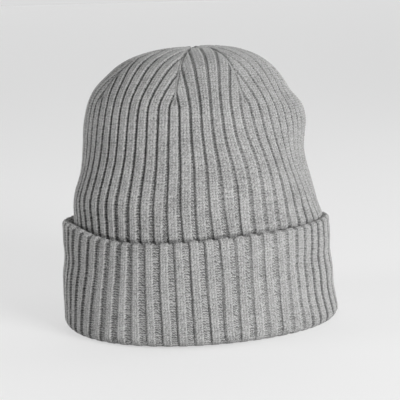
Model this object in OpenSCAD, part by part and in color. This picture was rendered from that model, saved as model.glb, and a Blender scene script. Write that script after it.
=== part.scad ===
// Cuffed rib-knit beanie: a double-layer hat with a gored crown and a turned-up cuff.
// Millimetres, +Z up. The front faces -Y and the linked back seam is near +Y. The origin is on the
// surface that the hat stands on, under the middle of its oval opening.

/* [Head opening] */
// Inside width of the opening, side to side
head_w = 158; // [140:1:180]
// Inside length of the opening, front to back
head_l = 192; // [165:1:215]

/* [Body] */
// Height of the hat, from the surface that it stands on to the top of the crown
hat_h = 204; // [185:1:235]
// Height at which the wall turns into the dome of the crown
shoulder_z = 140; // [120:1:155]
// How far each side of the wall is drawn in at the shoulder
draw_in = 9.5; // [0:0.5:14]
// Height at which the wall starts to draw in
draw_low = 50; // [20:1:70]
// Height at which the wall has drawn in fully
draw_high = 128; // [100:1:150]

/* [Knit] */
// Thickness of one ply of knit, over a rib
ply = 2.6; // [2.2:0.1:3.4]
// Depth of the groove between two ribs
rib_depth = 1.6; // [0.6:0.1:1.8]
// Width of a groove on the body, as a share of the rib pitch
body_groove = 0.34; // [0.2:0.02:0.6]
// Width of a groove on the cuff, which shows the other face of the knit
cuff_groove = 0.5; // [0.2:0.02:0.7]
// Room between two plies that lie on each other
layer_gap = 0.15; // [0.1:0.05:0.4]

/* [Crown] */
// Angle up the dome at which the darts start
dart_start = 22; // [18:1:40]
// Angle up the dome at which the gores end, round the closing stitch
dart_end = 86; // [82:0.5:87]
// How far the stuffed crown crowds its ribs together at the front left, in degrees round
rib_crowd = 7; // [0:0.1:9]

/* [Cuff] */
// Height of the turned-up cuff
cuff_h = 76; // [55:1:95]
// Room between the cuff and the body
cuff_ease = 2.4; // [1.5:0.1:5]
// How far each side of the cuff leans in at its top edge
cuff_lean = 1; // [0:0.1:1.2]

/* [Seams] */
// Width of a linked seam
seam_w = 1.4; // [0.8:0.1:2.4]
// Clearance between a seam and the knit beside it
stitch_gap = 0.1; // [0.05:0.05:0.3]
// Clearance between the cuff's plies and its turned edge, which moves when the cuff is turned down
turn_gap = 0.3; // [0.2:0.1:0.6]

/* [Hidden] */

// Ribs knitted into each gore, counted round from the back seam
gore_ribs = [8, 8, 8, 9, 7, 8, 8];
gores = len(gore_ribs);
function total(list, upto) = upto == 0 ? 0 : list[upto - 1] + total(list, upto - 1);
rib_total = total(gore_ribs, gores);
rib_deg = 360 / rib_total;
// Angle round the oval of the linked back seam
back_deg = 94;
// Side of the hat on which the crown's ribs are crowded together
crowd_deg = -39;

// Steps of the knit's faces: up the drawn-in wall, up to the darts, up a gore, up the cuff, across a
// gore, round a fold and round the closing stitch
wall_steps = 4;
shoulder_steps = 2;
gore_steps = 7;
cuff_steps = 2;
plain_steps = 5;
fold_steps = 5;
tie_steps = 28;

// Least distance of a groove's corner from the back seam and from a dart, in ribs
seam_room = 0.02;
dart_room = 0.15;
// Degrees up the dome over which a gore's edges sink to the depth of a groove
dart_sink = 8;
// Angle round the bottom fold at which the cuff's grooves run out
groove_end = 300;
// Width of the closing stitch between the layers, and the share of a ply that each of its heads fills
tie_waist = 0.7;
tie_head = 0.8;

// Distances out from the inside of the lining, to each face of each ply
lining_out = ply;
body_in = lining_out + layer_gap;
body_out = body_in + ply;
cuff_in = body_out + cuff_ease;
cuff_mid = cuff_in + ply;
cuff_out = cuff_mid + layer_gap + ply;

// The fold under the rim is a half round with a flat on the surface that the hat stands on
fold_r = cuff_out / 2;
fold_z = fold_r * cos(90 / fold_steps);
edge_r = (cuff_out - cuff_in) / 2;
edge_z = cuff_h - edge_r;
dome_h = hat_h - shoulder_z - body_out;

yarn_grey = [0.62, 0.62, 0.61];
lining_grey = [0.55, 0.55, 0.54];
seam_grey = [0.45, 0.45, 0.44];

// The hat's surface
// A place on it is given by a distance out from the lining's inside, a height up the wall,
// an angle up the dome and an angle round the oval.

function ease(u) = let (c = min(1, max(0, u))) c * c * (3 - 2 * c);
function drawn(z) = draw_in * ease((z - draw_low) / (draw_high - draw_low));
function half_w(out, z) = head_w / 2 - drawn(z) + out;
function half_l(out, z) = head_l / 2 - drawn(z) + out;
function place(out, z, up, round) = [
    half_w(out, z) * cos(up) * cos(round),
    half_l(out, z) * cos(up) * sin(round),
    z + (dome_h + out) * sin(up)
];

// Degrees round the oval that a width takes at a place
function width_deg(width, out, z, up, round) =
    let (pace = norm([half_w(out, z) * sin(round), half_l(out, z) * cos(round)]) * cos(up))
    width / pace * 180 / PI;
function slit_deg(out, z, up, round) = width_deg(seam_w / 2 + stitch_gap, out, z, up, round);

// Rows up the wall, the dome and the cuff, as [height, angle up the dome, distance out from the wall]
function wall_rows() = [
    [fold_z + stitch_gap, 0, 0],
    for (i = [0 : wall_steps]) [draw_low + (shoulder_z - draw_low) * i / wall_steps, 0, 0],
    for (i = [1 : shoulder_steps]) [shoulder_z, dart_start * i / shoulder_steps, 0]
];
gap_up = width_deg(stitch_gap, body_in, shoulder_z, 0, back_deg);
function gore_rows() = [
    for (i = [0 : gore_steps])
        [shoulder_z, dart_start + gap_up + (dart_end - dart_start - gap_up) * i / gore_steps, 0]
];
// The cuff stands nearly straight, clear of the wall that draws in behind it
function cuff_row(z) = [z, 0, drawn(z) - cuff_lean * max(0, z - fold_z) / (edge_z - fold_z)];
function cuff_rows() = [
    for (i = [0 : cuff_steps])
        cuff_row(fold_z + stitch_gap + (edge_z - fold_z - stitch_gap - turn_gap) * i / cuff_steps)
];

// Angle round the oval at which a rib lies. The ribs are evenly spaced on the cuff and draw together
// on one side of the crown.
function even_deg(mark) = back_deg + mark * rib_deg;
function rib_round(mark, z) =
    even_deg(mark)
        - rib_crowd * ease((z - cuff_h) / (shoulder_z - cuff_h)) * sin(even_deg(mark) - crowd_deg);

// Gores, counted round from the back seam
function dart_deg(k) = rib_round(total(gore_ribs, k), shoulder_z);

// Share of a groove's depth at a place that lies so many ribs from the middle of a groove
function groove_share(ribs, groove) = max(0, 1 - 2 * abs(ribs - round(ribs)) / groove);

// Angles of the corners of the grooves, in ribs from the back seam. Grooves start half a rib from a
// seam, or at the seam itself where shift is a half.
function groove_marks(groove, shift) = [
    for (rib = [0 : rib_total], side = [-1, 0, 1])
        let (mark = rib + 0.5 - shift + side * groove / 2)
        if (mark > seam_room && mark < rib_total - seam_room) mark
];
function plain_marks() = [
    for (k = [0 : gores - 1], j = [0 : plain_steps - 1])
        let (mark = total(gore_ribs, k) + gore_ribs[k] * j / plain_steps) if (mark > 0) mark
];

// One row of points round the hat, from one side of the back seam to the other, as [even angle, point].
// A closed row has no seam in it.
function hat_row(row, face, depth = 0, groove = 1, shift = 0, closed = false) =
    let (
        z = row[0],
        up = row[1],
        out = face + row[2],
        slit = closed ? 0 : slit_deg(out, z, up, back_deg) / rib_deg,
        inner_marks = depth == 0 ? plain_marks() : groove_marks(groove, shift),
        marks = concat([slit], inner_marks, closed ? [] : [rib_total - slit])
    )
    [
        for (mark = marks)
            let (
                sunk = depth == 0 ? 0 : depth * groove_share(mark - 0.5 + shift, groove)
            )
            [even_deg(mark), place(out - sunk, z, up, rib_round(mark, z))]
    ];

// One row of points across a gore. The ribs keep their width, so fewer of them are left higher up,
// and the outermost run into the darts.
function gore_row(k, row, out, depth = 0) =
    let (
        up = row[1],
        half = gore_ribs[k] / 2,
        left = half * cos(up) / cos(dart_start),
        low = dart_deg(k) + slit_deg(out, shoulder_z, up, dart_deg(k)),
        high = dart_deg(k + 1) - slit_deg(out, shoulder_z, up, dart_deg(k + 1)),
        middle = (low + high) / 2,
        span = (high - low) / 2,
        edge_depth = depth * ease((up - dart_start) / dart_sink),
        marks = depth == 0
            ? [for (j = [1 : plain_steps - 1]) left * (2 * j / plain_steps - 1)]
            : [
                for (rib = [0 : gore_ribs[k] - 1], side = [-1, 0, 1])
                    let (mark = rib + 0.5 - half + side * body_groove / 2)
                    if (abs(mark) < left - dart_room) mark
            ]
    )
    [
        [low, place(out - edge_depth, shoulder_z, up, low)],
        for (mark = marks)
            let (
                round = middle + span * mark / left,
                sunk = depth == 0 ? 0 : depth * groove_share(mark - 0.5 + half, body_groove)
            )
            [round, place(out - sunk, shoulder_z, up, round)],
        [high, place(out - edge_depth, shoulder_z, up, high)]
    ];

// Solids from rows of points

// Whether the next triangle between rows a and b takes its new corner from a
function takes_a(a, b, i, j) =
    j == len(b) - 1 || (i < len(a) - 1 && a[i + 1][0] <= b[j + 1][0]);

// Triangles between two rows of [angle, index], which may have different counts
function zip(a, b) = [
    for (
        i = 0, j = 0, on_a = takes_a(a, b, 0, 0);
        i + j < len(a) + len(b) - 2;
        i = on_a ? i + 1 : i, j = on_a ? j : j + 1, on_a = takes_a(a, b, i, j)
    )
        on_a ? [a[i][1], a[i + 1][1], b[j][1]] : [a[i][1], b[j + 1][1], b[j][1]]
];
function flipped(faces) = [for (f = faces) [f[2], f[1], f[0]]];
function joined(lists) = [for (list = lists, item = list) item];

// A closed sheet between two stacks of rows, its outer face and its inner face
module sheet(outer, inner, closed = false) {
    rows = concat(outer, inner);
    counts = [for (row = rows) len(row)];
    function indexed(r) = let (start = total(counts, r)) concat(
        [for (i = [0 : counts[r] - 1]) [rows[r][i][0], start + i]],
        closed ? [[rows[r][0][0] + 360, start]] : []
    );
    function edge(from, count, last) = [
        for (r = [0 : count - 1])
            let (row = indexed(from + r))
            [r / (count - 1), row[last ? len(row) - 1 : 0][1]]
    ];
    no = len(outer);
    ni = len(inner);
    outside = joined([for (r = [0 : no - 2]) flipped(zip(indexed(r), indexed(r + 1)))]);
    inside = joined([for (r = [0 : ni - 2]) zip(indexed(no + r), indexed(no + r + 1))]);
    ends = concat(zip(indexed(0), indexed(no)), flipped(zip(indexed(no - 1), indexed(no + ni - 1))));
    sides = closed ? [] : concat(
        flipped(zip(edge(0, no, false), edge(no, ni, false))),
        zip(edge(0, no, true), edge(no, ni, true))
    );
    polyhedron(
        points = [for (row = rows, p = row) p[1]],
        faces = concat(outside, inside, ends, sides)
    );
}

// A linked seam along a rib: a strip that fills the slit between two edges of knit
module seam_strip(mark, rows, low, high) {
    function across(row, face, n) =
        let (
            round = rib_round(mark, row[0]),
            out = face + row[2],
            half = width_deg(seam_w / 2, out, row[0], row[1], round)
        )
        [for (i = [0 : n]) let (at = round + half * (2 * i / n - 1)) [at, place(out, row[0], row[1], at)]];
    sheet([for (row = rows) across(row, high, 2)], [for (row = rows) across(row, low, 1)]);
}

// Outer layer
module outer_body() {
    color(yarn_grey)
        sheet(
            [for (row = wall_rows()) hat_row(row, body_out, rib_depth, body_groove)],
            [for (row = wall_rows()) hat_row(row, body_in)]
        );
}

module crown_gore(k) {
    color(yarn_grey)
        sheet(
            [for (row = gore_rows()) gore_row(k, row, body_out, rib_depth)],
            [for (row = gore_rows()) gore_row(k, row, body_in)]
        );
}

module dart_seam(k) {
    color(seam_grey) seam_strip(total(gore_ribs, k), gore_rows(), body_in, body_out - rib_depth / 2);
}

module back_seam() {
    color(seam_grey) seam_strip(0, wall_rows(), body_in, body_out - rib_depth / 4);
}

// Inner layer
module lining_body() {
    color(lining_grey)
        sheet(
            [for (row = wall_rows()) hat_row(row, lining_out)],
            [for (row = wall_rows()) hat_row(row, 0)]
        );
}

module lining_gore(k) {
    color(lining_grey)
        sheet(
            [for (row = gore_rows()) gore_row(k, row, lining_out)],
            [for (row = gore_rows()) gore_row(k, row, 0)]
        );
}

module lining_dart_seams() {
    color(seam_grey)
        for (k = [0 : gores - 1]) seam_strip(total(gore_ribs, k), gore_rows(), 0, lining_out);
}

module lining_back_seam() {
    color(seam_grey) seam_strip(0, wall_rows(), 0, lining_out);
}

// The stitch that closes both crowns and tacks the lining to the outer layer. It is drawn in between
// the two layers.
module crown_tie() {
    low = shoulder_z + dome_h * sin(dart_end);
    module slice(from, to, share) {
        w = share * (half_w(0, shoulder_z) * cos(dart_end) - 2 * stitch_gap);
        l = share * (half_l(0, shoulder_z) * cos(dart_end) - 2 * stitch_gap);
        translate([0, 0, from])
            linear_extrude(to - from)
                polygon([
                    for (i = [0 : tie_steps - 1])
                        let (a = i * 360 / tie_steps)
                        [w * cos(a), l * sin(a)]
                ]);
    }
    color(seam_grey) {
        slice(low, hat_h, tie_waist);
        slice(low, low + ply * tie_head, 1);
        slice(low + body_in + ply * (1 - tie_head), hat_h - ply * (1 - tie_head), 1);
    }
}

// Rim: both layers turn under and up into the cuff
function fold_angles() = [for (i = [0 : fold_steps]) 180 + 180 * i / fold_steps];
function fold_row(a, r) = [fold_z + r * sin(a), 0, fold_r + r * cos(a)];

// The lining turns under the rim and becomes the front of the cuff. Its grooves run out under the rim.
module bottom_fold() {
    color(yarn_grey)
        sheet(
            [
                for (a = fold_angles())
                    let (depth = rib_depth * ease((a - groove_end) / (360 - groove_end)))
                    hat_row(fold_row(a, fold_r), 0, depth, cuff_groove, 0.5, closed = true)
            ],
            [for (a = fold_angles()) hat_row(fold_row(a, fold_r - ply), 0, closed = true)],
            closed = true
        );
}

// The outer layer turns up inside it and becomes the back of the cuff
module inner_fold() {
    far = fold_r - ply - layer_gap;
    near = far - ply;
    color(yarn_grey)
        sheet(
            [for (a = fold_angles()) hat_row(fold_row(a, far), 0, closed = true)],
            [for (a = fold_angles()) hat_row(fold_row(a, near), 0, closed = true)],
            closed = true
        );
}

// Cuff
module cuff_back_ply() {
    color(yarn_grey)
        sheet(
            [for (row = cuff_rows()) hat_row(row, cuff_mid)],
            [for (row = cuff_rows()) hat_row(row, cuff_in)]
        );
}

module cuff_front_ply() {
    color(yarn_grey)
        sheet(
            [for (row = cuff_rows()) hat_row(row, cuff_out, rib_depth, cuff_groove, 0.5)],
            [for (row = cuff_rows()) hat_row(row, cuff_mid + layer_gap)]
        );
}

// The turned edge along the top of the cuff, where its two plies meet
module cuff_edge() {
    mid = cuff_out - edge_r;
    turn = 180 / fold_steps;
    function edge_row(a, depth = 0) =
        hat_row(
            cuff_row(edge_z + edge_r * sin(a)), mid + edge_r * cos(a), depth, cuff_groove, 0.5, closed = true
        );
    color(yarn_grey)
        sheet(
            [for (a = [0, turn, 2 * turn]) edge_row(a, rib_depth * (1 - a / 180))],
            [for (a = [180, 180 - turn, 180 - 2 * turn]) edge_row(a)],
            closed = true
        );
}

module cuff_seam() {
    color(seam_grey) seam_strip(0, cuff_rows(), cuff_in, cuff_out - rib_depth);
}

outer_body();
for (k = [0 : gores - 1]) {
    crown_gore(k);
    dart_seam(k);
    lining_gore(k);
}
back_seam();
lining_body();
lining_dart_seams();
lining_back_seam();
crown_tie();
bottom_fold();
inner_fold();
cuff_back_ply();
cuff_front_ply();
cuff_edge();
cuff_seam();
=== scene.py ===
import bpy
import numpy as np
from mathutils import Matrix, Vector


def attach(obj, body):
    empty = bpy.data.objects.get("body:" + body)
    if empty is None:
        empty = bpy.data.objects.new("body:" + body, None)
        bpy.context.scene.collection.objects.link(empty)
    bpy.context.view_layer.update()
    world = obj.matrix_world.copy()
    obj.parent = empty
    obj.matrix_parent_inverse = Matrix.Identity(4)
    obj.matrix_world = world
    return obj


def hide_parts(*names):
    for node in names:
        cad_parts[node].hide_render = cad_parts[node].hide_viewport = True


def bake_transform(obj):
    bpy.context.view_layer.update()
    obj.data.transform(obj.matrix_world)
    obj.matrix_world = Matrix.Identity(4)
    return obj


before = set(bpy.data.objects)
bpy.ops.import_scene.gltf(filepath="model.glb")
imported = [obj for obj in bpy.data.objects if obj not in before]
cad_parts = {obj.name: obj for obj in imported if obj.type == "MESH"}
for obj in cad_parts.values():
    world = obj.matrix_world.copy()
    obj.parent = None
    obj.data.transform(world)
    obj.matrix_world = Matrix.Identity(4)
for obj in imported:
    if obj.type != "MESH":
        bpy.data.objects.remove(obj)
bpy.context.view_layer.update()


# Lining
# The inner layer of the hat: the same knitted tube pushed up inside itself, so that its purl face
# meets the head. It is soft grey yarn, knitted in ribs and gathered into gores at the crown.

# Sizes of the hat in millimetres and degrees, as in the part's source
head_w, head_l = 158.0, 192.0
hat_h, shoulder_z = 204.0, 140.0
draw_in, draw_low, draw_high = 9.5, 50.0, 128.0
ply, layer_gap = 2.6, 0.15
body_out = 2 * ply + layer_gap
dome_h = hat_h - shoulder_z - body_out
gore_ribs = np.array([8, 8, 8, 9, 7, 8, 8])
rib_total = int(gore_ribs.sum())
rib_deg = 360.0 / rib_total
back_deg = 94.0
# How this hat lies, with front, right, left and behind as the camera sees it: the angle that its ribs crowd
# towards, how many degrees they crowd on the crown and fan out above the cuff, and how far the crown is
# pulled to the front right and dented at its tie
crowd_deg, rib_crowd, rib_fan = -39.0, 10.8, 1.3
gather_x, gather_y, gather_dent = 5.3, -3.2, 4.2
# Mean radius and height of the stuffed dome, the angle up it where the knit ends, and the width of a rib
shoulder_r, stuffed_h, crown_end, rib_mm = 83.4, 62.0, 89.2, 9.4


def ease(u):
    """Smooth step: 0 below 0, 1 above 1, and three u squared less two u cubed between."""
    c = np.clip(u, 0.0, 1.0)
    return c * c * (3.0 - 2.0 * c)


def bump(u, middle, width):
    """Bell: e to the power of minus the square of the distance from the middle over the width."""
    return np.exp(-(((u - middle) / width) ** 2))


def facing(turn, middle, width):
    """Bell round the hat: the distance is the angle from the middle, brought between minus and plus 180."""
    return bump((turn - middle + 180.0) % 360.0 - 180.0, 0.0, width)


def drawn_in(z):
    """How far the wall is drawn in at a height: an eased step from the low height to the high one."""
    return draw_in * ease((z - draw_low) / (draw_high - draw_low))


def stuffing(turn, height):
    """How far the stuffing pushes the knit out, in mm: slow waves round the hat, and a few soft
    dents and bulges, each a bell round the hat times a bell up it."""
    t = np.radians(turn)
    low = 1.0 - ease((height - 78.0) / 40.0)
    waves = 0.5 * np.sin(3 * t + height / 31.0) + 0.4 * np.sin(5 * t - height / 23.0 + 1.0)
    cuff = 1.4 * np.cos(2 * t) - 0.8 * np.cos(4 * t) + 1.0 * np.sin(4 * t)
    right, left = facing(turn, 52.0, 48.0), facing(turn, -129.0, 45.0)
    sides = right * (0.2 * bump(height, 96.0, 14.0) - 3.2 * bump(height, 126.0, 20.0))
    sides = sides - right * (2.4 * bump(height, 181.0, 20.0) + 2.6 * bump(height, 169.0, 8.0))
    sides = sides + left * (3.2 * bump(height, 96.0, 15.0) - 1.4 * bump(height, 146.0, 18.0))
    crown = (5.4 - 3.2 * right) * bump(height, 192.0, 10.0) + 2.0 * left * bump(height, 173.0, 12.0)
    return waves * ease((height - 10.0) / 60.0) + cuff * low + sides + crown


def place(out, z, up, turn):
    """Point of the hat's surface, in mm. The half axes of its oval are the head's, less how far the
    wall is drawn in, plus the distance out. Over the shoulder they close in by the cosine of the
    angle up the dome, while the height grows by its sine. The crown stands a little higher at the
    right, and bells round the hat's axis pull it to the front right and dent it at the tie."""
    drawn = drawn_in(z)
    rise, a = np.radians(up), np.radians(turn)
    out = out + stuffing(turn, z + stuffed_h * np.sin(rise)) * np.cos(rise)
    wide = (head_w / 2 - drawn + out) * np.cos(rise) * np.cos(a)
    long = (head_l / 2 - drawn + out) * np.cos(rise) * np.sin(a)
    tall = z + (dome_h + out) * np.sin(rise)
    wide, long, tall = np.broadcast_arrays(wide, long, tall)
    tall = tall + 0.019 * (wide + long) * ease((tall - 172.0) / 28.0)
    on_crown = ease((tall - 150.0) / 40.0)
    dent = gather_dent * bump(np.hypot(wide, long), 0.0, 14.0) * on_crown
    pull = bump(np.hypot(wide, long), 0.0, 40.0) * on_crown
    return np.stack([wide + gather_x * pull, long + gather_y * pull, tall - dent], axis=-1)


def rib_turn(rib, length):
    """Angle round the hat of a rib, counted from the back seam, at a length along the knit from the rim.
    The ribs fan out above the cuff and crowd together on the crown, by a sine of the angle and more slowly
    behind, and lean more the lower they are. Bells bend them at the right, the front and the left."""
    even = back_deg + rib * rib_deg
    aside = (even - crowd_deg + 180.0) % 360.0 - 180.0
    behind = np.where(aside > 0.0, ease((aside - 46.0) / 44.0), ease((-aside - 72.0) / 50.0))
    gather = (1.0 - behind) * ease((length - 92.0) / 56.0) + behind * ease((length - 36.0) / 130.0)
    crowd = (rib_crowd + rib_fan) * gather - rib_fan - 2.0 * ease((length - 150.0) / 25.0)
    lean = 0.025 * np.maximum(shoulder_z - length, 0.0) + 1.2 + ease((150.0 - length) / 50.0)
    bent = 4.0 * facing(even, -4.0, 30.0) * bump(length, 122.0, 24.0)
    bent = bent + 2.4 * facing(even, -118.0, 28.0) * bump(length, 78.0, 13.0)
    bent = bent - 1.1 * facing(even, -30.0, 17.0) * bump(length, 98.0, 28.0)
    return even - crowd * np.sin(np.radians(even - crowd_deg)) + lean + bent * (1.0 - behind)


# Length of the dome's arc at small steps of the angle up it: the pace round an ellipse, summed
dome_steps = np.linspace(0.0, 90.0, 721)
dome_rise = np.radians(dome_steps)
dome_pace = np.hypot(shoulder_r * np.sin(dome_rise), (dome_h + body_out) * np.cos(dome_rise))
dome_arc = np.concatenate([[0.0], np.cumsum((dome_pace[1:] + dome_pace[:-1]) / 2 * np.diff(dome_rise))])
crown_length = shoulder_z + np.interp(crown_end, dome_steps, dome_arc)


def climb(length):
    """Height up the wall and angle up the dome, for a length along the knit from the rim: the length
    itself up to the shoulder, and then the angle whose arc makes up the rest."""
    return np.minimum(length, shoulder_z), np.interp(length - shoulder_z, dome_arc, dome_steps)


def grid_faces(rows, columns):
    """Corners of the faces between neighbouring points of a grid, which face the side that sees its
    columns run to the right and its rows run up."""
    i = np.arange(rows * columns).reshape(rows, columns)
    return np.stack([i[:-1, :-1], i[:-1, 1:], i[1:, 1:], i[1:, :-1]], axis=-1).reshape(-1, 4)


def flat_grid(rows, columns):
    """Place of each point of a grid on the flat knit, from 0 to 1 each way with a thin margin."""
    u, v = np.linspace(0.004, 0.996, columns), np.linspace(0.004, 0.996, rows)
    return np.stack(np.meshgrid(u, v), axis=-1).reshape(-1, 2)


def yarn_grid(across, along):
    """Place of each point of a grid along the yarn's pattern, in mm across the ribs and along them."""
    return np.stack(np.broadcast_arrays(across, along), axis=-1).reshape(-1, 2)


def knit_mesh(name, points, faces, painted_shade_and_tone, yarn, flat):
    """A mesh from points in mm, with how dark each point is painted, mostly as shade in the knit's hollows
    and creases with a random tone, its place along the yarn's pattern in mm, and its place on the flat
    knit as the UV map."""
    mesh = bpy.data.meshes.new(name)
    corners = faces.shape[1]
    mesh.vertices.add(len(points))
    mesh.vertices.foreach_set("co", (points * 0.001).astype(np.float32).ravel())
    mesh.loops.add(faces.size)
    mesh.loops.foreach_set("vertex_index", faces.astype(np.int32).ravel())
    mesh.polygons.add(len(faces))
    mesh.polygons.foreach_set("loop_start", np.arange(0, faces.size, corners, dtype=np.int32))
    mesh.update(calc_edges=True)
    mesh.polygons.foreach_set("use_smooth", np.ones(len(faces), dtype=bool))
    mesh.uv_layers.new(name="OFBake").data.foreach_set("uv", flat[faces.ravel()].astype(np.float32).ravel())
    mesh.attributes.new("painted_shade_and_tone", "FLOAT", "POINT").data.foreach_set("value", painted_shade_and_tone.astype(np.float32).ravel())
    held = np.concatenate([yarn, np.zeros((len(yarn), 1))], axis=1).astype(np.float32)
    mesh.attributes.new("yarn", "FLOAT_VECTOR", "POINT").data.foreach_set("vector", held.ravel())
    piece = bpy.data.objects.new(name, mesh)
    bpy.context.scene.collection.objects.link(piece)
    return piece


def heather_group():
    """Heather yarn, of light and dark fibres spun together. Its tone is the sum of flecks that follow the
    yarn, single fibres and patches wider than a rib, less a share of each point's painted shade and tone:
    shade painted for the light lost in creases, hollows and seams, a painted highlight on ridges, and a
    random tone of the stitches. The tone mixes the dark yarn with the light one."""
    tree = bpy.data.node_groups.new("Heather yarn", "ShaderNodeTree")
    for socket, kind, way in (
        ("Yarn", "NodeSocketVector", "INPUT"), ("Body", "NodeSocketVector", "INPUT"),
        ("Painted shade and tone", "NodeSocketFloat", "INPUT"), ("Light yarn", "NodeSocketColor", "INPUT"),
        ("Dark yarn", "NodeSocketColor", "INPUT"), ("Colour", "NodeSocketColor", "OUTPUT"),
        ("Height", "NodeSocketFloat", "OUTPUT"), ("Roughness", "NodeSocketFloat", "OUTPUT"),
    ):
        tree.interface.new_socket(name=socket, in_out=way, socket_type=kind)
    nodes, links = tree.nodes, tree.links
    source, sink = nodes.new("NodeGroupInput"), nodes.new("NodeGroupOutput")

    def mapped(value, low, high, to_low, to_high):
        """A value carried from one range to another, and kept inside it."""
        node = nodes.new("ShaderNodeMapRange")
        for i, number in enumerate((low, high, to_low, to_high)):
            node.inputs[i + 1].default_value = number
        links.new(value, node.inputs[0])
        return node.outputs[0]

    def noise(vector, scale, detail, stretch=(1.0, 1.0, 1.0)):
        """Noise about 0, between minus and plus a half, on stretched coordinates."""
        mapping = nodes.new("ShaderNodeMapping")
        mapping.inputs["Scale"].default_value = stretch
        texture = nodes.new("ShaderNodeTexNoise")
        texture.inputs["Scale"].default_value = scale
        texture.inputs["Detail"].default_value = detail
        links.new(vector, mapping.inputs["Vector"])
        links.new(mapping.outputs["Vector"], texture.inputs["Vector"])
        return mapped(texture.outputs["Fac"], 0.3, 0.7, -0.5, 0.5)

    def math(kind, first, second):
        """Two values or numbers joined by one kind of sum."""
        node = nodes.new("ShaderNodeMath")
        node.operation = kind
        for i, value in enumerate((first, second)):
            if isinstance(value, float):
                node.inputs[i].default_value = value
            else:
                links.new(value, node.inputs[i])
        return node.outputs[0]

    flecks = noise(source.outputs["Yarn"], 1.35, 2.0, (1.0, 0.55, 1.0))
    fibres = noise(source.outputs["Body"], 1900.0, 2.0)
    patches = noise(source.outputs["Body"], 55.0, 3.0)
    tone = math("ADD", math("MULTIPLY", flecks, 0.5), math("MULTIPLY", fibres, 0.7))
    tone = math("ADD", tone, math("MULTIPLY", patches, 0.16))
    # Less a share of the painted shade: darker in creases, hollows and seams, lighter on painted highlights
    tone = math("SUBTRACT", math("ADD", tone, 0.84), math("MULTIPLY", source.outputs["Painted shade and tone"], 0.78))
    blend = nodes.new("ShaderNodeMix")
    blend.data_type = "RGBA"
    links.new(tone, blend.inputs["Factor"])
    links.new(source.outputs["Dark yarn"], blend.inputs[6])
    links.new(source.outputs["Light yarn"], blend.inputs[7])
    links.new(blend.outputs[2], sink.inputs["Colour"])
    links.new(math("ADD", fibres, math("MULTIPLY", flecks, 0.6)), sink.inputs["Height"])
    links.new(mapped(fibres, -0.5, 0.5, 0.82, 0.96), sink.inputs["Roughness"])
    return tree


heather = heather_group()


def yarn_material(name, light, dark, fuzz):
    """Heather yarn in two greys, with the soft sheen of loose fibres."""
    material = bpy.data.materials.new(name)
    material.use_nodes = True
    nodes, links = material.node_tree.nodes, material.node_tree.links
    shader = nodes["Principled BSDF"]
    shader.inputs["Sheen Weight"].default_value = fuzz
    shader.inputs["Sheen Roughness"].default_value = 0.45
    shader.inputs["Sheen Tint"].default_value = (0.9, 0.9, 0.9, 1.0)
    shader.inputs["Specular IOR Level"].default_value = 0.18
    group = nodes.new("ShaderNodeGroup")
    group.node_tree = heather
    group.inputs["Light yarn"].default_value = (*light, 1.0)
    group.inputs["Dark yarn"].default_value = (*dark, 1.0)
    # Each point's painted shade and tone, and its place along the yarn's pattern
    for attribute, output, socket in (("yarn", "Vector", "Yarn"), ("painted_shade_and_tone", "Fac", "Painted shade and tone")):
        read = nodes.new("ShaderNodeAttribute")
        read.attribute_name = attribute
        links.new(read.outputs[output], group.inputs[socket])
    place_on = nodes.new("ShaderNodeTexCoord")
    links.new(place_on.outputs["Object"], group.inputs["Body"])
    relief = nodes.new("ShaderNodeBump")
    relief.inputs["Strength"].default_value = 0.5
    relief.inputs["Distance"].default_value = 0.0002
    links.new(group.outputs["Height"], relief.inputs["Height"])
    links.new(relief.outputs["Normal"], shader.inputs["Normal"])
    links.new(group.outputs["Colour"], shader.inputs["Base Color"])
    links.new(group.outputs["Roughness"], shader.inputs["Roughness"])
    return material


lining_yarn = yarn_material("lining knit", (0.36, 0.36, 0.355), (0.09, 0.09, 0.09), 0.12)
# Length where the lining starts above the rim, and the height of one of its stitches
lining_start, lining_course = 6.0, 3.3


def lining():
    """Two halves of the inner face. Rows climb the wall and the dome, two to a stitch, and columns run
    round, eight to a rib. The relief is a wave across each rib and a smaller one up the stitches. The
    wave's hollows, as seen from the head, are painted darker as shade."""
    length = np.concatenate([np.arange(lining_start, crown_length, lining_course / 2), [crown_length]])
    z, up = climb(length)
    for half in (0, 1):
        rib = np.linspace(half * rib_total / 2, (half + 1) * rib_total / 2, rib_total * 4 + 1)
        wave = 0.5 + 0.5 * np.cos(2 * np.pi * rib)[None, :]
        rows = (length / lining_course)[:, None]
        relief = 0.9 * wave + 0.16 * np.cos(2 * np.pi * (rows + 0.35 * np.cos(4 * np.pi * rib)[None, :]))
        relief = relief * (1.0 - 0.6 * ease((up - 60.0) / 26.0))[:, None]
        turn = rib_turn(rib[None, :], length[:, None])
        points = place(0.1 + relief, z[:, None], up[:, None], turn).reshape(-1, 3)
        faces = grid_faces(len(length), len(rib))[:, ::-1]
        # Painted shade: the part of each rib's wave furthest from the head, a hollow as seen from it, is
        # darker
        painted_shade_and_tone = np.broadcast_to(0.75 * wave, relief.shape)
        pattern = yarn_grid(rib[None, :] * rib_mm, length[:, None])
        flat = flat_grid(len(length), len(rib))
        piece = knit_mesh(f"lining_knit_{half + 1}", points, faces, painted_shade_and_tone, pattern, flat)
        piece.data.materials.append(lining_yarn)
        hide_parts("lining_body", *[f"lining_gore_{k}" for k in range(1, 8)])
        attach(piece, "hat")


lining()


# Outer body
# The ribbed wall of the outer layer, knitted of grey heather yarn, from the rim up to where the darts
# start. Its ribs are three wales of knit and two of purl, drawn tight high up and stretched open lower down.

knit_yarn = yarn_material("grey rib knit", (0.428, 0.428, 0.423), (0.085, 0.085, 0.085), 0.16)
# Angle up the dome and length along the knit where the darts start, and the height of the cuff over the wall
dart_start, cuff_h = 22.0, 76.0
dart_length = shoulder_z + np.interp(dart_start, dome_steps, dome_arc)
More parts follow.
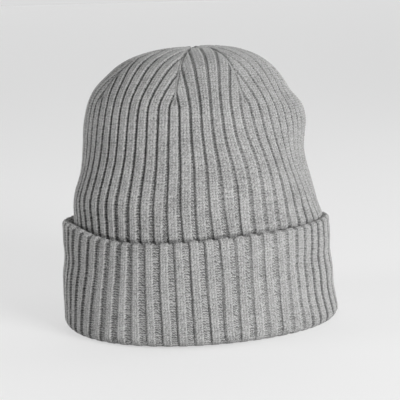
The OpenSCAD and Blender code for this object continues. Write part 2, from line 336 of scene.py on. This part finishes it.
# Height of a stitch, rows of points to a stitch where they show and behind the cuff, and the first stitches
course, rows_to_course, hidden_to_course = 1.88, 4, 3
first_stitch, first_shown = 2.0, 34
# How far the knit's crests stand out from the layer's face
crest_lift = 0.45
last_shown = int(dart_length / course * rows_to_course)
hidden_rows = np.arange(first_stitch, float(first_shown), 1.0 / hidden_to_course)
shown_rows = np.arange(first_shown * rows_to_course, last_shown + 1) / rows_to_course
body_lengths = np.concatenate([hidden_rows * course, shown_rows * course, [dart_length]])


def drift(rib, length, seed, ribs_apart, mm_apart):
    """Slow random drift between minus and plus 1: random numbers on a coarse grid of ribs and lengths,
    eased from each one to the next."""
    longest = 400
    across, along = int(round(rib_total / ribs_apart)), int(longest / mm_apart) + 3
    table = np.random.default_rng(seed).uniform(-1.0, 1.0, (across, along))
    u, v = rib / rib_total * across, length / mm_apart
    i, j = np.floor(u).astype(int), np.floor(v).astype(int)
    a, b = ease(u - i), ease(v - j)
    near = table[i % across, j] * (1 - a) + table[(i + 1) % across, j] * a
    far = table[i % across, j + 1] * (1 - a) + table[(i + 1) % across, j + 1] * a
    return near * (1 - b) + far * b


def stitch_vary(rows, ribs, seed):
    """How strongly each stitch stands out, from a half to one and a half: a random number for each stitch
    row and each sixth of a rib, which is half a wale."""
    stitches, half_wales = 400, 512
    table = np.random.default_rng(seed).uniform(0.5, 1.5, (stitches, half_wales))
    return table[np.floor(rows).astype(int) % stitches, np.floor(ribs * 6.0 + 0.5).astype(int) % half_wales]


def right_side_share(rib):
    """Share of the hat's right side at a rib: a bell round the hat, 1 there. The knit's relief is smoother
    there, and its painted shade is set to how the light falls on that side: paler bands that darken
    towards their crease, and darker creases.
    """
    return facing(back_deg + rib * rib_deg, 40.0, 48.0)


# Columns of points across one rib: its crest, where three wales of knit stitches run, the lower band of
# purl stitches beside it, and the crease where that band turns under the next rib.
crest_part = np.concatenate([np.linspace(-1.0, 1.0, 13), np.ones(9)])
band_part = np.concatenate([np.zeros(13), [0.05], np.linspace(0.2, 1.0, 6), [1.0, 1.0]])
crease_part = np.concatenate([np.zeros(20), [0.45, 0.8]])
rib_points, crease_bottom = len(crest_part), 20


def rib_columns(first, last):
    """Columns from the bottom of the crease before the first rib to that after the last: each one's rib, its
    place across the crest from -1 to 1, and how far it has gone across the band and the crease."""
    count = last - first + 2
    rib = np.repeat(np.arange(first - 1, last + 1), rib_points).astype(float)
    parts = (np.tile(part, count) for part in (crest_part, band_part, crease_part))
    return tuple(values[crease_bottom:-1][None, :] for values in (rib, *parts))


def rib_place(rib, crest, band, crease, crest_share, band_share):
    """Rib number of a column, with the middle of each crest on a whole number, when the crest and the band
    take these shares of the rib's width and the crease takes the rest."""
    crease_share = 1.0 - crest_share - band_share
    return rib + crest * crest_share / 2 + band * band_share + crease * crease_share


def rib_knit(crest, band, crease, rows, depth, vary, slot, shade, pale, right_side):
    """Relief of rib knit over its crest in mm, how dark it is, and how far its stitches spill sideways in
    ribs. The crest is softly domed and ends in a ridge and a steep wall. The band lies at most of the depth,
    and the crease at the slot's share of it, with a loop across it at each row. A wale is two legs with a
    crease between them and a deeper one beside them. Stitches are waves up the rib: they lean outwards as a
    V on each wale, and are two slanted strokes across the band, weaker towards the hat's right side. The
    darkness is mostly painted shade: in the creases, at the wall's foot, in the dips between stitches and
    strokes, and across the band from its own painted shade, darker towards the crease at the right side; the
    ridge has a painted highlight. The crease's painted shade is lifted by its pale share and by the loops,
    or made darker where that share is below 0. A random tone per stitch is added."""
    on_crest = band == 0
    even = 0.6 + 0.4 * vary
    bottom = 1.0 - np.abs(crease - 0.45) / 0.55
    in_crease = ease(np.where(crease > 0, np.where(crease < 0.5, 1.0, bottom), 0.0))
    ridge = bump(crest, 5.0 / 6.0, 0.15) * on_crest
    fall = 0.07 * crest**2 + 0.11 * crest**12 - 0.10 * ridge
    shape = -fall - (0.66 * ease(band / 0.06) + 0.10 * band) * (1.0 - ease(crease))
    bridge = (0.5 + 0.5 * np.cos(2 * np.pi * (rows + 0.2))) * even * (1.0 - 0.7 * right_side)
    shape = np.where(crease > 0, shape * (1 - in_crease) - in_crease * (slot - 0.32 * bridge), shape)
    wale = 1.5 * crest
    off = np.abs(wale - np.clip(np.round(wale), -1, 1))
    legs = np.sin(2 * np.pi * np.clip(off, 0.0, 0.5))
    creases = (1.0 - legs) * (0.35 + 1.3 * off)
    knit = 0.5 - 0.5 * np.cos(2 * np.pi * (rows - 0.8 * off + 0.36 * (vary - 1.0)))
    stroke = rows + 0.5 + 0.55 * (2.0 * band % 1.0) + 0.4 * (vary - 1.0)
    purl = 0.5 - 0.5 * np.cos(2 * np.pi * stroke)
    knit_low = 0.36 * knit * (0.35 + 0.65 * legs) * vary
    purl_low = (1.0 - 0.5 * right_side) * purl * (1.0 - 0.6 * ease(crease * 2)) * even
    relief = depth * shape - 0.36 * creases * on_crest - np.where(on_crest, knit_low, purl_low)
    # Darkness of the knit, mostly painted shade, with a painted highlight on the ridge and a random tone per
    # stitch
    foot = bump(band, 0.05, 0.12)
    knit_dark = 0.40 * creases + 0.42 * knit * even + 0.2 * (vary - 1.0) - 0.24 * ridge
    purl_dark = shade + 0.06 * band + 0.45 * right_side * band**2 + 0.40 * foot + 0.16 * (vary - 1.0)
    purl_dark = purl_dark + (1.25 - 0.75 * right_side) * purl * even * (1.0 - 0.5 * in_crease)
    dark = np.where(on_crest, knit_dark, purl_dark) - in_crease * (pale + 0.2 * bridge)
    spill = 0.028 * crest * np.abs(crest) ** 3 * (0.5 - knit) * vary * on_crest
    spill = spill + 0.032 * np.sin(2 * np.pi * rows) * in_crease
    return relief, np.clip(dark, -0.1, 1.2), spill


def body_relief(rib, crest, band, crease, length, z):
    """Each column's rib once ribs wander, the relief of the outer layer's knit and how dark it is painted,
    mostly as shade. The purl band is wide above the cuff, all but closed at the shoulder and narrower at the
    right side, where the knit is smoother. Slow drifts change its width, its depth and the rows a little."""
    rows = length / course + 0.5 * drift(rib, length, 3, 2.0, 60.0)
    vary = stitch_vary(rows, rib + 0.33 * crest + 0.5 * band, 7)
    tight, right_side = ease((z - 72.0) / 66.0), right_side_share(rib)
    loose = 1.0 + (0.12 - 0.09 * right_side) * drift(rib, length, 11, 1.0, 34.0)
    band_share = (0.33 - 0.21 * tight) * loose * (1.0 - 0.35 * right_side)
    crease_share = (0.09 + 0.03 * tight) * loose * (1.0 + 0.5 * right_side)
    at = rib_place(rib, crest, band, crease, 1.0 - band_share - crease_share, band_share)
    at = at + 0.05 * drift(at, length, 5, 1.4, 26.0)
    depth = 2.2 + (0.15 - 0.1 * right_side) * drift(rib, length, 9, 1.0, 40.0)
    # Painted shade of the band, and how much the crease's painted shade is lifted; at the right side it is
    # darkened instead
    shade, pale = -0.18 - 0.02 * right_side, 0.16 - 1.15 * right_side
    relief, dark, spill = rib_knit(crest, band, crease, rows, depth, vary, 1.0, shade, pale, right_side)
    return at + spill, relief + 0.12 * drift(at * 3.0, length, 17, 1.0, 9.0) + crest_lift, dark + 0.08


def seam_sink(distance):
    """Share of the way down to a linked seam that the knit beside it has sunk: 1 at the seam, eased to 0."""
    sink_mm = 1.7
    return 1.0 - ease(distance / sink_mm)


def cuff_sag(turn, z):
    """How far the cuff leaves its section, out and up in mm, by bells round the hat. At both sides it is
    drawn in half way up and hugs the body, and it is fuller at its lower right. Its top edge dips at the
    front left and far right and rises at the left, and its rim lifts at the front."""
    low = 1.0 - ease((z - 2.0) / 26.0)
    right, left = facing(turn, 30.0, 34.0), facing(turn, -124.0, 36.0)
    out = low * (3.4 * right - 0.6 * left) - 1.8 * bump(z, 50.0, 9.0) * (right + left)
    snug = 1.9 * facing(turn, 46.0, 42.0) + 0.8 * facing(turn, -128.0, 34.0)
    out = out - snug * ease((z - 46.0) / 24.0)
    up = -2.8 * facing(turn, -66.0, 28.0) + 3.8 * facing(turn, -113.0, 22.0)
    up = up - 3.4 * facing(turn, 68.0, 24.0)
    rim = 2.0 * facing(turn, -54.0, 44.0) * (1.0 - ease((z - 4.0) / 24.0))
    return out, up * ease((z - 8.0) / 66.0) + rim


# First and last ribs of the wall's panels, and how far in the cuff's edge may press the knit
body_panels, deepest = ((0, 10), (11, 21), (22, 32), (33, 43), (44, 55)), -3.9


def outer_body():
    """Five panels of the wall, which meet at the bottoms of grooves. Rows of points climb the knit, four to a
    stitch and three behind the cuff, and columns follow the wales. The knit sinks beside the back seam, dips
    along the cuff's edge and swells out to that edge at the right. It is painted darker as shade where it
    sinks by the seam, and with a painted shadow of the cuff's edge in the dip."""
    z, up = climb(body_lengths)
    for number, (first, last) in enumerate(body_panels, 1):
        columns = rib_columns(first, last)
        length = body_lengths[:, None]
        at, relief, dark = body_relief(*columns, length, z[:, None])
        sunk = seam_sink(np.minimum(np.abs(at), np.abs(rib_total - at)) * rib_mm)
        # The knit beside the back seam sinks, and is painted darker there as shade
        relief, dark = relief - 1.3 * sunk, dark + 0.25 * sunk
        turn = rib_turn(at, length)
        # A dent along the cuff's top edge, painted darker as the cuff's shadow on the body, less at both
        # sides
        dip = bump(length - cuff_h - cuff_sag(turn, cuff_h)[1], -1.2, 1.9)
        dip = dip * (1.0 - 0.9 * facing(turn, -122.0, 32.0) - 0.7 * facing(turn, 30.0, 45.0))
        relief, dark = np.maximum(relief - 1.8 * dip, deepest), dark + 0.45 * dip
        relief = relief + 2.6 * facing(turn, 50.0, 36.0) * bump(length, 73.0, 9.0)
        points = place(body_out + relief, z[:, None], up[:, None], turn)
        piece = knit_mesh(f"body_knit_{number}", points.reshape(-1, 3), grid_faces(*at.shape), dark,
                          yarn_grid(at * rib_mm, length), flat_grid(*at.shape))
        piece.data.materials.append(knit_yarn)
        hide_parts("outer_body")
        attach(piece, "hat")


outer_body()


# Crown gores
# Seven flaps of the outer layer's rib knit, cut to a point and linked edge to edge. A gore's ribs keep
# their width, so its middle ribs reach the top and the others are cut off where they run into a dart.

crown_rows = np.arange(0, int((crown_length - dart_length) / course * rows_to_course) + 1)
crown_lengths = np.concatenate([dart_length + crown_rows * course / rows_to_course, [crown_length]])
dart_ribs = np.concatenate([[0], np.cumsum(gore_ribs)])
# Width of a rib on the crown, and the shares of it that the crest and the band take before they drift
crown_rib_mm, crown_crest, crown_band = 9.0, 0.8, 0.06


def crown_gore(k):
    """One gore. Its half width in ribs shrinks by the cosine of the angle up the dome, a little faster
    higher up. At each row the columns beyond its edge are drawn in to the edge, where the knit sinks into
    the seam and is painted dark as shade, and the faces that this leaves without area are dropped. The
    relief and the painted shade fade towards the top."""
    first, last = int(dart_ribs[k]), int(dart_ribs[k + 1])
    columns = rib_columns(first, last)
    nominal = rib_place(*columns, crown_crest, crown_band)[0]
    within = (nominal > first - 0.01) & (nominal < last + 0.01)
    length = crown_lengths[:, None]
    z, up = climb(crown_lengths)
    half, middle = (last - first) / 2, (last + first) / 2
    widen = 1.0 + 0.22 * ease((up - dart_start) / 45.0)
    reach = half * np.cos(np.radians(up)) / np.cos(np.radians(dart_start)) / widen
    at, relief, dark = body_relief(*(values[:, within] for values in columns), length, z[:, None])
    off = at - middle
    beyond = np.abs(off) >= reach[:, None] - 0.02
    off = np.where(beyond, np.sign(off) * reach[:, None], off)
    spread = middle + off * (half / reach)[:, None]
    sunk = seam_sink((reach[:, None] - np.abs(off)) * crown_rib_mm) * ease((up - dart_start) / 6.0)[:, None]
    fade = 1.0 - 0.55 * ease((up - 34.0) / 42.0)[:, None]
    relief = (relief - crest_lift) * fade + crest_lift
    # The knit sunk into the seam is painted dark as shade, and the painted shade fades upwards with the
    # relief
    relief, dark = relief * (1.0 - sunk) - 1.7 * sunk, dark * fade * (1.0 - sunk) + 0.8 * sunk
    points = place(body_out + relief, z[:, None], up[:, None], rib_turn(spread, length))
    rows, columns = at.shape
    column = np.arange(columns)[None, :]
    low = np.maximum((beyond & (off < 0)).sum(axis=1) - 1, 0)[:, None]
    high = np.minimum(columns - (beyond & (off > 0)).sum(axis=1), columns - 1)[:, None]
    kept = np.clip(column, low, high) + np.arange(rows)[:, None] * columns
    quads = kept.ravel()[grid_faces(rows, columns)]
    faces = np.concatenate([quads[:, [0, 1, 2]], quads[:, [0, 2, 3]]])
    whole = (faces[:, 0] != faces[:, 1]) & (faces[:, 1] != faces[:, 2]) & (faces[:, 2] != faces[:, 0])
    used, faces = np.unique(faces[whole], return_inverse=True)
    pattern, flat = yarn_grid(at * rib_mm, length), flat_grid(rows, columns)
    piece = knit_mesh(f"crown_knit_{k + 1}", points.reshape(-1, 3)[used], faces.reshape(-1, 3),
                      dark.ravel()[used], pattern[used], flat[used])
    piece.data.materials.append(knit_yarn)
    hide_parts(f"crown_gore_{k + 1}")
    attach(piece, "hat")


for gore in range(len(gore_ribs)):
    crown_gore(gore)


# Linked seams and crown tie
# Chains of the same yarn that close the darts and the back of the tube, loop by loop, and the stitch
# that gathers both crowns to a point and tacks the lining to the outer layer.

seam_yarn = yarn_material("seam yarn", (0.40, 0.40, 0.395), (0.08, 0.08, 0.08), 0.1)
# Length of a stitch and radius of the yarn in the seams and the tie
seam_stitch, seam_r, back_r, tie_r = 2.0, 0.5, 0.52, 0.6
# How far the seams lie under the outer layer's face, and how far out over the lining's
dart_under, back_under, inner_dart_out, inner_back_out = 1.3, 0.95, 0.8, 0.7
# Lengths where the back seams start above the rim, and what is left free at the other ends
back_start, inner_back_start, seam_end = 6.0, 6.5, 1.0


def yarn_tube(name, path, radius, sides=6):
    """A yarn: a ring of points round each point of a path, which thins at both ends. The ring lies across the
    path's direction, and is turned so that it doesn't twist about the hat's axis. Its side turned towards
    the knit is painted darker as shade."""
    ahead = np.gradient(path, axis=0)
    ahead /= np.linalg.norm(ahead, axis=1)[:, None]
    out = path * np.array([1.0, 1.0, 0.3]) + np.array([0.0, 0.0, 1e-3])
    side = np.cross(ahead, out)
    side /= np.linalg.norm(side, axis=1)[:, None]
    up = np.cross(side, ahead)
    a = np.arange(sides) * 2 * np.pi / sides
    ring = np.cos(a)[None, :, None] * side[:, None, :] + np.sin(a)[None, :, None] * up[:, None, :]
    steps = np.arange(len(path))
    swell = radius * np.minimum(1.0, 0.15 + np.minimum(steps, steps[::-1]) / 3.0)
    points = path[:, None, :] + ring * swell[:, None, None]
    quads = np.arange(len(path) * sides).reshape(len(path), sides)
    after = np.roll(quads, -1, axis=1)
    faces = np.stack([quads[:-1], after[:-1], after[1:], quads[1:]], axis=-1).reshape(-1, 4)
    pattern_mm = 0.4
    pattern = yarn_grid(a[None, :] * pattern_mm, steps[:, None] * pattern_mm)
    # Painted shade: darker on the side of the yarn turned towards the knit, lighter on its outer side
    painted_shade_and_tone = np.broadcast_to(0.3 - 0.25 * np.sin(a)[None, :], (len(path), sides)).ravel()
    u, v = np.linspace(0.01, 0.99, sides), np.linspace(0.004, 0.996, len(path))
    flat = np.stack(np.meshgrid(u, v), axis=-1).reshape(-1, 2)
    piece = knit_mesh(name, points.reshape(-1, 3), faces, painted_shade_and_tone, pattern, flat)
    piece.data.materials.append(seam_yarn)
    return piece


def seam_path(rib, start, end, out, width=0.75):
    """Zigzag of a linked seam along a rib, from one length of the knit to another: a sine wave across the
    seam, turned to an angle by the hat's mean radius, with loops that rise and sink twice as often."""
    length = np.arange(start, end, seam_stitch / 8)
    z, up = climb(length)
    phase = 2 * np.pi * length / seam_stitch
    mean_r = np.hypot(head_w / 2, head_l / 2) * 0.707
    turn = rib_turn(rib, length) + np.degrees(width * np.sin(phase) / (mean_r * np.cos(np.radians(up))))
    return place(out + 0.35 * np.cos(2 * phase), z, up, turn)


for k in range(len(gore_ribs)):
    start, end = dart_length + seam_end, crown_length - seam_end
    dart_path = seam_path(float(dart_ribs[k]), start, end, body_out - dart_under)
    seam = yarn_tube(f"dart_seam_stitch_{k + 1}", dart_path, seam_r)
    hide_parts(f"dart_seam_{k + 1}")
    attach(seam, "hat")

back_path = seam_path(0.0, back_start, dart_length - seam_end, body_out - back_under)
back = yarn_tube("back_seam_stitch", back_path, back_r)
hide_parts("back_seam")
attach(back, "hat")

inner_path = seam_path(0.0, inner_back_start, dart_length, inner_back_out)
inner_back = yarn_tube("lining_back_stitch", inner_path, seam_r)
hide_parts("lining_back_seam")
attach(inner_back, "hat")

for k in range(len(gore_ribs)):
    dart_path = seam_path(float(dart_ribs[k]), dart_length, crown_length - seam_end, inner_dart_out)
    seam = yarn_tube(f"lining_dart_stitch_{k + 1}", dart_path, seam_r)
    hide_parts("lining_dart_seams")
    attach(seam, "hat")

# The tie's seven loops go out over each gore's point and back through the middle: a sine of the turn gives
# how far they reach, and another how they rise and sink
tie_z, tie_loops, loop_points = hat_h - 4.6, len(gore_ribs), 32
tie_turn = np.linspace(0.0, 2 * np.pi, tie_loops * loop_points, endpoint=False)
tie_reach = 0.8 + 2.2 * np.abs(np.sin(tie_loops / 2 * tie_turn)) ** 0.8
tie_path = np.stack([gather_x + tie_reach * np.cos(tie_turn), gather_y + 1.2 * tie_reach * np.sin(tie_turn),
                     tie_z + 0.5 * np.sin(tie_loops * tie_turn) - 0.04 * tie_reach**2], axis=-1)
tie = yarn_tube("crown_tie_stitch", tie_path, tie_r)
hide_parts("crown_tie")
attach(tie, "hat")


# Cuff
# The lower end of the knitted tube, turned up over itself. Under the rim both layers fold, the lining
# comes up on the outside as the cuff's front, and the two meet again in the soft roll along its top.

# Height of a stitch, width of a rib, and first and last ribs of the cuff's panels
cuff_course, cuff_rib_mm = 1.84, 11.0
cuff_panels = ((0, 13), (14, 27), (28, 41), (42, 55))
# Room behind the cuff, its lean, and the radii and heights of its fold and its edge, as in the part's source
cuff_ease, cuff_lean, fold_steps = 2.4, 1.0, 5
cuff_in = body_out + cuff_ease
cuff_out = cuff_in + 2 * ply + layer_gap
fold_r = cuff_out / 2
fold_z = fold_r * np.cos(np.radians(90.0 / fold_steps))
edge_r = (cuff_out - cuff_in) / 2
edge_z = cuff_h - edge_r


def cuff_stand(z):
    """What is added to the cuff's distance out at a height: as much as the wall behind it is drawn in, less a
    lean that grows evenly from the fold to the top edge."""
    return drawn_in(z) - cuff_lean * np.clip((z - fold_z) / (edge_z - fold_z), 0.0, 1.0)


def cuff_section():
    """Section of the cuff, as rows of distance out, height and the direction that its face looks in: a half
    round under the rim, the nearly straight front, a half round over the top and the back."""
    fine = cuff_course / rows_to_course
    under = np.radians(np.concatenate([np.arange(180.0, 235.0, 9.0),
                                       np.arange(235.0, 360.0, np.degrees(fine / fold_r))]))
    front = np.arange(fold_z, edge_z, fine)
    over = np.radians(np.concatenate([np.arange(0.0, 120.0, np.degrees(fine / edge_r) * 0.8),
                                      np.arange(120.0, 181.0, 15.0)]))
    back = np.linspace(edge_z - 1.0, fold_z + 3.0, 18)
    top = edge_z + edge_r * np.sin(over)
    roll = cuff_out - edge_r + edge_r * np.cos(over)
    out = np.concatenate([fold_r + fold_r * np.cos(under), cuff_out + cuff_stand(front),
                          roll + cuff_stand(top), cuff_in + cuff_stand(back)])
    z = np.concatenate([fold_z + fold_r * np.sin(under), front, top, back])
    face_out = np.concatenate([np.cos(under), np.ones(len(front)), np.cos(over), -np.ones(len(back))])
    face_up = np.concatenate([np.sin(under), np.zeros(len(front)), np.sin(over), np.zeros(len(back))])
    length = np.concatenate([[0.0], np.cumsum(np.hypot(np.diff(out), np.diff(z)))])
    return out, z, face_out, face_up, length


def cuff_turn(rib, z):
    """Angle round the hat of a rib of the cuff. The ribs crowd a little at the front, by a sine of the angle,
    lean to the right on the way down, and to the left at the far left. Bells shift them at both sides."""
    even = back_deg + rib * rib_deg
    down = (38.0 - z) / 60.0
    lean = 1.6 - 9.0 * facing(even, -107.0, 32.0)
    even = even - 2.4 * facing(even, -114.0, 26.0) - 3.0 * facing(even, 26.0, 17.0)
    even = even - 1.9 * facing(even, 20.0, 17.0) * bump(z, 40.0, 22.0)
    return even + 2.6 - 2.6 * np.sin(np.radians(even + 40.0)) + lean * down


def cuff():
    """Four panels of the whole turned section, which meet at the bottoms of grooves. The ribs lie half a rib
    from the body's and show more of their purl stitches. The relief is pressed flat behind and all but fades
    round the hem, and the top edge thickens inwards to a lip that closes on the body."""
    out, z, face_out, face_up, length = (values[:, None] for values in cuff_section())
    for number, (first, last) in enumerate(cuff_panels, 1):
        rib, crest, band, crease = rib_columns(first, last)
        rows = length / cuff_course + 0.5 * drift(rib, length, 23, 2.0, 60.0)
        vary, right_side = stitch_vary(rows, rib + 0.33 * crest + 0.5 * band, 29), right_side_share(rib)
        loose = 1.0 + (0.12 - 0.09 * right_side) * drift(rib, length, 31, 1.0, 30.0)
        band_share = 0.42 * loose * (1.0 - 0.3 * right_side)
        crease_share = 0.08 * loose * (1.0 + 0.7 * right_side)
        at = 0.5 + rib_place(rib, crest, band, crease, 1.0 - band_share - crease_share, band_share)
        at = at + 0.06 * drift(at, length, 37, 1.4, 30.0)
        depth = 1.95 + (0.15 - 0.1 * right_side) * drift(rib, length, 41, 1.0, 40.0)
        # Painted shade of the band, and how much the crease's painted shade is lifted; at the right side it
        # is darkened instead
        shade, pale = -0.22 - 0.02 * right_side, 0.34 - 1.6 * right_side
        relief, dark, spill = rib_knit(crest, band, crease, rows, depth, vary, 0.84, shade, pale, right_side)
        at, relief = at + spill, relief + crest_lift + 0.14 * drift(at * 3.0, length, 43, 1.0, 9.0)
        hidden = np.where(face_out < -0.2, 0.35, 1.0)
        relief = relief * hidden - 0.25 * (1.0 - hidden)
        hem = ease((-face_up - 0.35) / 0.6)
        relief = relief * (1.0 - 0.85 * hem) + 0.25 * hem
        turn = cuff_turn(at, z)
        sag_out, sag_up = cuff_sag(turn, z)
        tall = np.maximum(z + relief * face_up + sag_up, 0.0)
        lip = np.maximum(-face_out, 0.0) * ease((z - edge_z + 12.0) / 12.0)
        lip = lip * (2.4 - 1.3 * facing(turn, 46.0, 42.0))
        stand_out = out + relief * face_out + sag_out + drawn_in(tall) - drawn_in(z) - lip
        points = place(stand_out, tall, 0.0 * z, turn)
        piece = knit_mesh(f"cuff_knit_{number}", points.reshape(-1, 3), grid_faces(*at.shape), dark,
                          yarn_grid(at * cuff_rib_mm, length), flat_grid(*at.shape))
        piece.data.materials.append(knit_yarn)
        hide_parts("cuff_front_ply", "cuff_back_ply", "cuff_edge", "bottom_fold", "inner_fold")
        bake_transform(piece)


cuff()

# The chain up the back of the cuff: the same zigzag as the other linked seams, sunk in the cuff's front
chain_under = 1.35
chain_z = np.arange(fold_z + 1.0, edge_z - 0.5, seam_stitch / 8)
chain_phase = 2 * np.pi * chain_z / seam_stitch
chain_out = cuff_out - chain_under + cuff_stand(chain_z) + 0.3 * np.cos(2 * chain_phase)
chain_turn = cuff_turn(0.0, chain_z) + 0.4 * np.sin(chain_phase)
chain_path = place(chain_out, chain_z, 0.0 * chain_z, chain_turn)
cuff_stitch = yarn_tube("cuff_seam_stitch", chain_path, seam_r)
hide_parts("cuff_seam")
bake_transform(cuff_stitch)


# Studio
# A pale paper floor that meets a pale backdrop, one soft lamp at the front right, weaker ones at the right
# and the left, and a sky that is dark overhead and brightest behind the hat. The camera is where the
# photograph was taken from.

paper_colour, paper_glow = (0.35, 0.35, 0.35, 1.0), (0.52, 0.52, 0.52, 1.0)
backdrop_colour = (0.71, 0.71, 0.71, 1.0)
floor_mesh = bpy.data.meshes.new("floor")
half_floor = 40
floor_corners = [(x * half_floor, y * half_floor, 0) for x, y in ((-1, -1), (1, -1), (1, 1), (-1, 1))]
floor_mesh.from_pydata(floor_corners, [], [(0, 1, 2, 3)])
floor = bpy.data.objects.new("floor", floor_mesh)
bpy.context.scene.collection.objects.link(floor)
paper = bpy.data.materials.new("pale paper")
paper.use_nodes = True
paper_shader = paper.node_tree.nodes["Principled BSDF"]
paper_shader.inputs["Base Color"].default_value = paper_colour
paper_shader.inputs["Roughness"].default_value = 0.9
paper_shader.inputs["Emission Color"].default_value = paper_glow
paper_ray = paper.node_tree.nodes.new("ShaderNodeLightPath")
paper.node_tree.links.new(paper_ray.outputs["Is Camera Ray"], paper_shader.inputs["Emission Strength"])
floor_mesh.materials.append(paper)

hat_middle = Vector((0, 0, 0.1))


def soft_lamp(name, place_at, wide, tall, watts):
    """An oblong lamp that looks from its place at the middle of the hat."""
    lamp = bpy.data.lights.new(name, "AREA")
    lamp.shape = "RECTANGLE"
    lamp.size, lamp.size_y = wide, tall
    lamp.energy = watts
    holder = bpy.data.objects.new(name, lamp)
    holder.location = place_at
    holder.rotation_euler = (hat_middle - Vector(place_at)).to_track_quat("-Z", "Y").to_euler()
    bpy.context.scene.collection.objects.link(holder)


soft_lamp("front lamp", (1.73, -0.27, 0.5), 0.7, 0.5, 38.0)
soft_lamp("right lamp", (0.8, 1.5, 0.5), 0.9, 0.6, 8.0)
soft_lamp("left lamp", (-0.9, -1.45, 0.4), 0.9, 0.6, 16.0)

world = bpy.data.worlds.new("studio sky")
world.use_nodes = True
sky, sky_links = world.node_tree.nodes, world.node_tree.links
sky["Background"].inputs["Color"].default_value = (0.9, 0.9, 0.9, 1.0)


def sky_mapped(value, low, high, to_low, to_high):
    """A value of the sky carried from one range to another, and kept inside it."""
    node = sky.new("ShaderNodeMapRange")
    for i, number in enumerate((low, high, to_low, to_high)):
        node.inputs[i + 1].default_value = number
    sky_links.new(value, node.inputs[0])
    return node.outputs[0]


# The sky's strength falls with the height of the direction, and swells towards the direction behind the hat
sky_way, sky_parts = sky.new("ShaderNodeTexCoord"), sky.new("ShaderNodeSeparateXYZ")
sky_rise, sky_level = sky.new("ShaderNodeMath"), sky.new("ShaderNodeMath")
sky_behind = sky.new("ShaderNodeVectorMath")
sky_rise.operation, sky_level.operation, sky_behind.operation = "ABSOLUTE", "MULTIPLY", "DOT_PRODUCT"
sky_behind.inputs[1].default_value = (-0.7071, 0.7071, 0.0)
sky_links.new(sky_way.outputs["Generated"], sky_parts.inputs[0])
sky_links.new(sky_way.outputs["Generated"], sky_behind.inputs[0])
sky_links.new(sky_parts.outputs["Z"], sky_rise.inputs[0])
sky_links.new(sky_mapped(sky_rise.outputs[0], 0.0, 0.75, 0.95, 0.0), sky_level.inputs[0])
sky_links.new(sky_mapped(sky_behind.outputs["Value"], 0.25, 0.95, 1.0, 4.0), sky_level.inputs[1])
sky_links.new(sky_level.outputs[0], sky["Background"].inputs["Strength"])
backdrop = sky.new("ShaderNodeBackground")
backdrop.inputs["Color"].default_value = backdrop_colour
sky_ray = sky.new("ShaderNodeLightPath")
sky_mix = sky.new("ShaderNodeMixShader")
sky_links.new(sky_ray.outputs["Is Camera Ray"], sky_mix.inputs[0])
sky_links.new(sky["Background"].outputs[0], sky_mix.inputs[1])
sky_links.new(backdrop.outputs[0], sky_mix.inputs[2])
sky_links.new(sky_mix.outputs[0], sky["World Output"].inputs["Surface"])
bpy.context.scene.world = world

# The camera looks a little down on the hat and is rolled by about a degree, as in the photograph
camera = bpy.data.objects.new("camera", bpy.data.cameras.new("camera"))
bpy.context.scene.collection.objects.link(camera)
stand_at, look_at = Vector((0.7071, -0.7071, 0.240)), Vector((0.0, 0.0, 0.0884))
ahead = (look_at - stand_at).normalized()
level = ahead.cross(Vector((0, 0, 1))).normalized()
upright = level.cross(ahead)
roll = np.radians(1.3)
right_axis = level * float(np.cos(roll)) - upright * float(np.sin(roll))
up_axis = level * float(np.sin(roll)) + upright * float(np.cos(roll))
turn_to = Matrix((right_axis, up_axis, -ahead)).transposed()
camera.matrix_world = Matrix.Translation(stand_at) @ turn_to.to_4x4()
camera.data.sensor_width = 36.0
camera.data.lens = 121.7
camera.data.shift_x = 0.0055
camera.data.clip_end = 200.0
bpy.context.scene.camera = camera
bpy.context.scene.view_settings.view_transform = "Standard"
